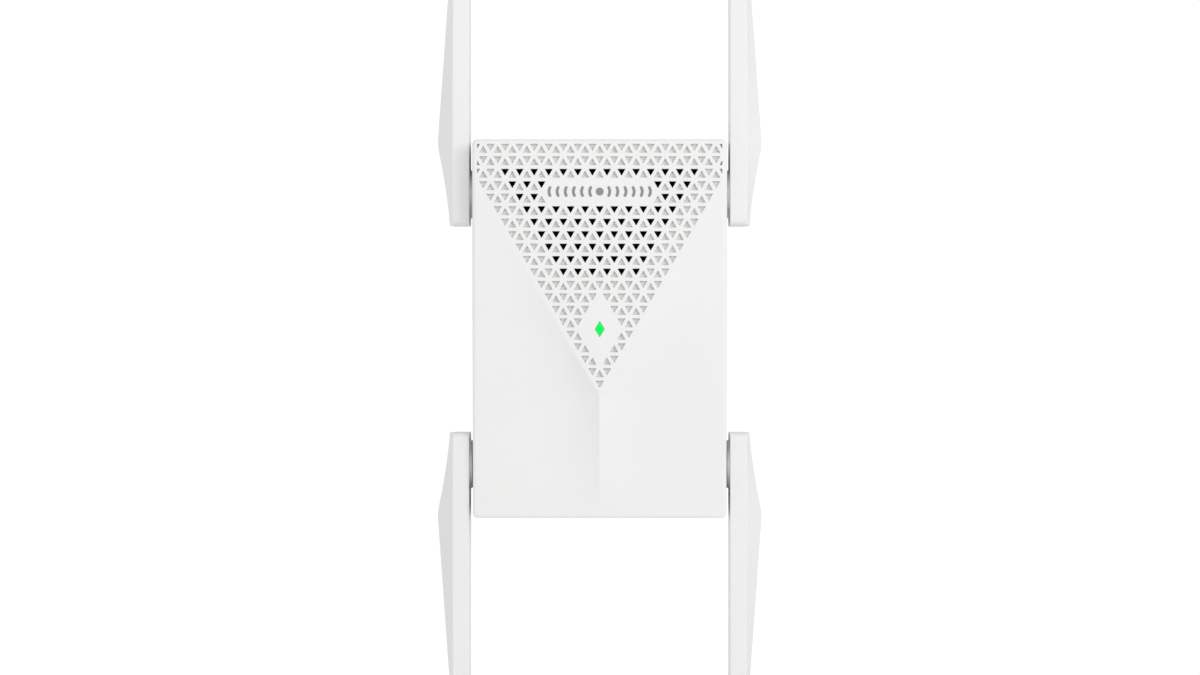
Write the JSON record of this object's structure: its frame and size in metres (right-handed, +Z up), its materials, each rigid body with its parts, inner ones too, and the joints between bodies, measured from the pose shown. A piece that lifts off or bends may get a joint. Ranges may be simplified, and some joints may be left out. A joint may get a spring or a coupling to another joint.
{
  "type": "wifi range extender",
  "caption": "Plug-in wifi range extender: white box with a flat V-shaped vent grille, a diamond lamp and folding side antennas, fed by mains blades on its back.",
  "frame": {"origin": "middle of the mains plug on the rear face that rests on the outlet, which is also the middle of the housing seen from the front", "axes": "+Y out of the back, along the plug blades into the outlet; +Z up, along the antennas; +X to the right as the front is seen. The grille faces -Y."},
  "size_m": [0.1036, 0.05, 0.2478],
  "materials": {
    "white_plastic": "fine satin moulded, matt white",
    "antenna_plastic": "fine satin moulded, matt white",
    "lamp_plastic": "clear green, lit from behind",
    "clear_resin": "clear green resin",
    "brass": "bright, nickel-washed",
    "steel": "zinc plated",
    "gold_contact": "gold plated",
    "black_aluminium": "black anodised",
    "circuit_board": "green solder mask",
    "black_plastic": "matt black moulded",
    "copper": "rolled copper",
    "winding_tape": "yellow winding tape over ferrite",
    "capacitor_sleeve": "shrunk dark blue sleeve",
    "thermal_pad": "soft grey filled silicone",
    "clear_film": "thin cream film or glass",
    "cable_jacket": "dark grey jacket",
    "red_wire": "red jacket"
  },
  "bodies": {
    "housing": {"front_cover": "white_plastic", "rear_cover": "white_plastic", "led_lens": "lamp_plastic", "plug_insert": "white_plastic", "plug_blade_neutral": "brass", "plug_blade_live": "brass", "mains_lead_neutral": "cable_jacket", "mains_lead_live": "red_wire", "main_board": "circuit_board", "processor": "black_plastic", "thermal_pad": "thermal_pad", "heat_sink": "black_aluminium", "rf_shield_left": "steel", "rf_shield_right": "steel", "status_led": "clear_resin", "memory_chip": "black_plastic", "power_board": "circuit_board", "transformer": "winding_tape", "mains_capacitor": "capacitor_sleeve", "output_capacitor": "capacitor_sleeve", "rectifier": "black_plastic", "fuse": "clear_film", "insulating_sheet": "clear_film", "power_header": "black_plastic", "ethernet_jack": "black_plastic", "ethernet_contacts": "gold_contact", "lan_transformer": "black_plastic", "wps_switch": "black_plastic", "reset_switch": "black_plastic", "case_screw_1": "steel", "case_screw_2": "steel", "case_screw_3": "steel", "case_screw_4": "steel", "antenna_upper_left_washer": "steel", "antenna_upper_left_cable": "cable_jacket", "antenna_upper_right_washer": "steel", "antenna_upper_right_cable": "cable_jacket", "antenna_lower_left_washer": "steel", "antenna_lower_left_cable": "cable_jacket", "antenna_lower_right_washer": "steel", "antenna_lower_right_cable": "cable_jacket"},
    "antenna_upper_left": {"antenna_upper_left_shell": "antenna_plastic", "antenna_upper_left_cover": "antenna_plastic", "antenna_upper_left_hinge": "white_plastic", "antenna_upper_left_element": "copper"},
    "antenna_upper_right": {"antenna_upper_right_shell": "antenna_plastic", "antenna_upper_right_cover": "antenna_plastic", "antenna_upper_right_hinge": "white_plastic", "antenna_upper_right_element": "copper"},
    "antenna_lower_left": {"antenna_lower_left_shell": "antenna_plastic", "antenna_lower_left_cover": "antenna_plastic", "antenna_lower_left_hinge": "white_plastic", "antenna_lower_left_element": "copper"},
    "antenna_lower_right": {"antenna_lower_right_shell": "antenna_plastic", "antenna_lower_right_cover": "antenna_plastic", "antenna_lower_right_hinge": "white_plastic", "antenna_lower_right_element": "copper"},
    "wps_button": {"wps_button": "white_plastic", "wps_plunger": "steel"},
    "reset_button": {"reset_plunger": "steel"}
  },
  "joints": [
    {"name": "antenna_upper_left_fold", "type": "hinge", "parent": "housing", "child": "antenna_upper_left", "pos_m": [-0.04, -0.015, 0.0429], "axis": [1, 0, 0], "range_deg": [0, 90]},
    {"name": "antenna_upper_right_fold", "type": "hinge", "parent": "housing", "child": "antenna_upper_right", "pos_m": [0.04, -0.015, 0.0429], "axis": [1, 0, 0], "range_deg": [0, 90]},
    {"name": "antenna_lower_left_fold", "type": "hinge", "parent": "housing", "child": "antenna_lower_left", "pos_m": [-0.04, -0.015, -0.0429], "axis": [-1, 0, 0], "range_deg": [0, 90]},
    {"name": "antenna_lower_right_fold", "type": "hinge", "parent": "housing", "child": "antenna_lower_right", "pos_m": [0.04, -0.015, -0.0429], "axis": [-1, 0, 0], "range_deg": [0, 90]},
    {"name": "wps_press", "type": "slide", "parent": "housing", "child": "wps_button", "axis": [0, 0, 1], "range_m": [0, 0.0008], "stiffness_N_per_m": 400, "springref_m": -0.002},
    {"name": "reset_press", "type": "slide", "parent": "housing", "child": "reset_button", "axis": [0, 0, 1], "range_m": [0, 0.0005], "stiffness_N_per_m": 400, "springref_m": -0.002}
  ]
}
